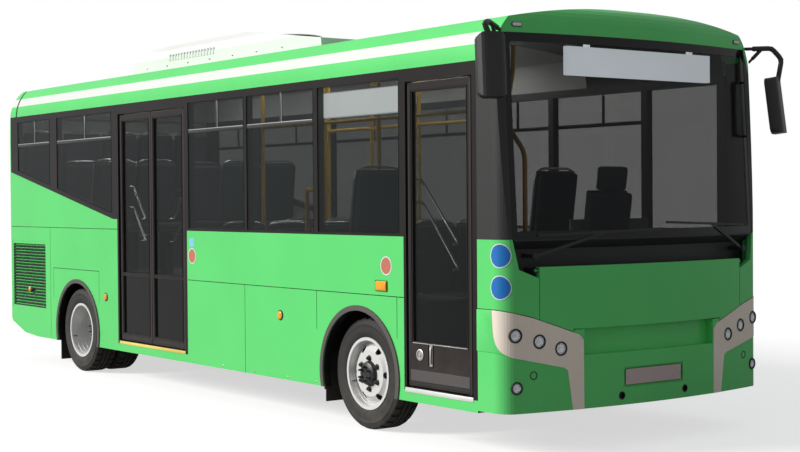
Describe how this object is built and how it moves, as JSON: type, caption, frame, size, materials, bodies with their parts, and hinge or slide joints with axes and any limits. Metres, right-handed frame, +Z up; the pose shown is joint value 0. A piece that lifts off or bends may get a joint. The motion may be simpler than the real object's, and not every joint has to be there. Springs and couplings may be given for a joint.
{
  "type": "city bus",
  "caption": "Low-entry city bus with hollow saloon, bowed front, glazed sides, folding-in doors, steered front axle, twin rear wheels, roof unit, seats and hand rails.",
  "frame": {"origin": "on the ground, midway along the body and on its centre line", "axes": "+X to the front, +Y to the bus's left, +Z up"},
  "size_m": [8.3255, 2.8764, 3.14],
  "materials": {
    "body_green": "gloss paint",
    "window_black": "gloss black",
    "tinted_glass": "tinted",
    "black_moulding": "grained black",
    "silver_moulding": "silver paint",
    "lamp_glass": "clear",
    "arch_rubber": "grey rubber",
    "grille_grey": "dark grey paint",
    "cab_grey": "grained grey",
    "seat_cloth": "woven grey",
    "rail_yellow": "powder coat",
    "sign_white": "blank white",
    "roof_white": "white paint",
    "floor_grey": "speckled grey",
    "chassis_steel": "black chassis paint",
    "engine_iron": "cast",
    "bellows_rubber": "black rubber",
    "tank_metal": "brushed",
    "lamp_red": "red lens",
    "lamp_amber": "amber lens",
    "tyre_black": "black rubber",
    "wheel_silver": "silver paint"
  },
  "bodies": {
    "body": {"floor_deck": "floor_grey", "chassis_frame": "chassis_steel", "lower_sides": "body_green", "window_frames": "window_black", "roof_shell": "body_green", "rear_wall": "body_green", "front_cap": "body_green", "front_trim": "black_moulding", "corner_panels": "body_green", "bumper_front": "body_green", "lamp_bezels": "silver_moulding", "head_lamps": "lamp_glass", "wipers": "black_moulding", "windscreen": "tinted_glass", "window_glass": "tinted_glass", "mirrors": "black_moulding", "arch_trims": "arch_rubber", "engine_grilles": "grille_grey", "dashboard": "cab_grey", "driver_seat": "seat_cloth", "cab_partition": "cab_grey", "passenger_seats": "seat_cloth", "handrails": "rail_yellow", "sign_boards": "sign_white", "roof_unit": "roof_white", "engine_block": "engine_iron", "front_axle": "chassis_steel", "rear_axle": "chassis_steel", "springs": "bellows_rubber", "underfloor_tanks": "tank_metal", "mud_flaps": "bellows_rubber", "tail_lamps": "lamp_red", "marker_lamps": "lamp_amber"},
    "knuckle_right_body": {"knuckle_right": "chassis_steel"},
    "knuckle_left_body": {"knuckle_left": "chassis_steel"},
    "tie_rod_body": {"tie_rod": "chassis_steel"},
    "steering_wheel_body": {"steering_wheel": "black_moulding"},
    "wheel_fr": {"tyre_front_right": "tyre_black", "wheel_front_right": "wheel_silver"},
    "wheel_fl": {"tyre_front_left": "tyre_black", "wheel_front_left": "wheel_silver"},
    "wheel_rr": {"tyre_rear_right": "tyre_black", "wheel_rear_right": "wheel_silver"},
    "wheel_rl": {"tyre_rear_left": "tyre_black", "wheel_rear_left": "wheel_silver"},
    "front_door_body": {"front_door": "window_black", "front_door_glass": "tinted_glass"},
    "mid_front_body": {"mid_door_front": "window_black", "mid_door_front_glass": "tinted_glass"},
    "mid_rear_body": {"mid_door_rear": "window_black", "mid_door_rear_glass": "tinted_glass"},
    "flap_body": {"front_flap": "body_green"},
    "engine_door_body": {"engine_door": "body_green"}
  },
  "joints": [
    {"name": "steer_right", "type": "hinge", "parent": "body", "child": "knuckle_right_body", "pos_m": [2.41, -0.86, 0.405], "axis": [0, 0, 1], "range_deg": [-35, 35]},
    {"name": "steer_left", "type": "hinge", "parent": "body", "child": "knuckle_left_body", "pos_m": [2.41, 0.86, 0.405], "axis": [0, 0, 1], "range_deg": [-35, 35]},
    {"name": "tie_rod_pivot", "type": "hinge", "parent": "knuckle_right_body", "child": "tie_rod_body", "pos_m": [2.21, -0.86, 0.172], "axis": [0, 0, 1], "range_deg": [-35, 35]},
    {"name": "steering_wheel_turn", "type": "hinge", "parent": "body", "child": "steering_wheel_body", "pos_m": [3.64, 0.64, 0.86], "axis": [-0.342, 0, 0.9397], "range_deg": [-630, 630]},
    {"name": "spin_front_right", "type": "hinge", "parent": "knuckle_right_body", "child": "wheel_fr", "pos_m": [2.41, -1.03, 0.405], "axis": [0, 1, 0], "continuous": true},
    {"name": "spin_front_left", "type": "hinge", "parent": "knuckle_left_body", "child": "wheel_fl", "pos_m": [2.41, 1.03, 0.405], "axis": [0, 1, 0], "continuous": true},
    {"name": "spin_rear_right", "type": "hinge", "parent": "body", "child": "wheel_rr", "pos_m": [-2.4, -1.066, 0.405], "axis": [0, 1, 0], "continuous": true},
    {"name": "spin_rear_left", "type": "hinge", "parent": "body", "child": "wheel_rl", "pos_m": [-2.4, 1.066, 0.405], "axis": [0, 1, 0], "continuous": true},
    {"name": "front_door_swing", "type": "hinge", "parent": "body", "child": "front_door_body", "pos_m": [3.666, -1.18, 0.375], "axis": [0, 0, -1], "range_deg": [0, 88]},
    {"name": "mid_door_front_swing", "type": "hinge", "parent": "body", "child": "mid_front_body", "pos_m": [-0.236, -1.18, 0.375], "axis": [0, 0, -1], "range_deg": [0, 88]},
    {"name": "mid_door_rear_swing", "type": "hinge", "parent": "body", "child": "mid_rear_body", "pos_m": [-1.424, -1.18, 0.375], "axis": [0, 0, 1], "range_deg": [0, 88]},
    {"name": "front_flap_lift", "type": "hinge", "parent": "body", "child": "flap_body", "pos_m": [4.05449, 0, 1.2], "axis": [0, -1, 0], "range_deg": [0, 65]},
    {"name": "engine_door_lift", "type": "hinge", "parent": "body", "child": "engine_door_body", "pos_m": [-4.14, 0, 1.228], "axis": [0, 1, 0], "range_deg": [0, 80]}
  ],
  "couplings": [
    {"joint": "steer_left", "follows": "steer_right", "ratio": 1},
    {"joint": "tie_rod_pivot", "follows": "steer_right", "ratio": -1},
    {"joint": "steering_wheel_turn", "follows": "steer_right", "ratio": 18},
    {"joint": "mid_door_rear_swing", "follows": "mid_door_front_swing", "ratio": 1}
  ]
}
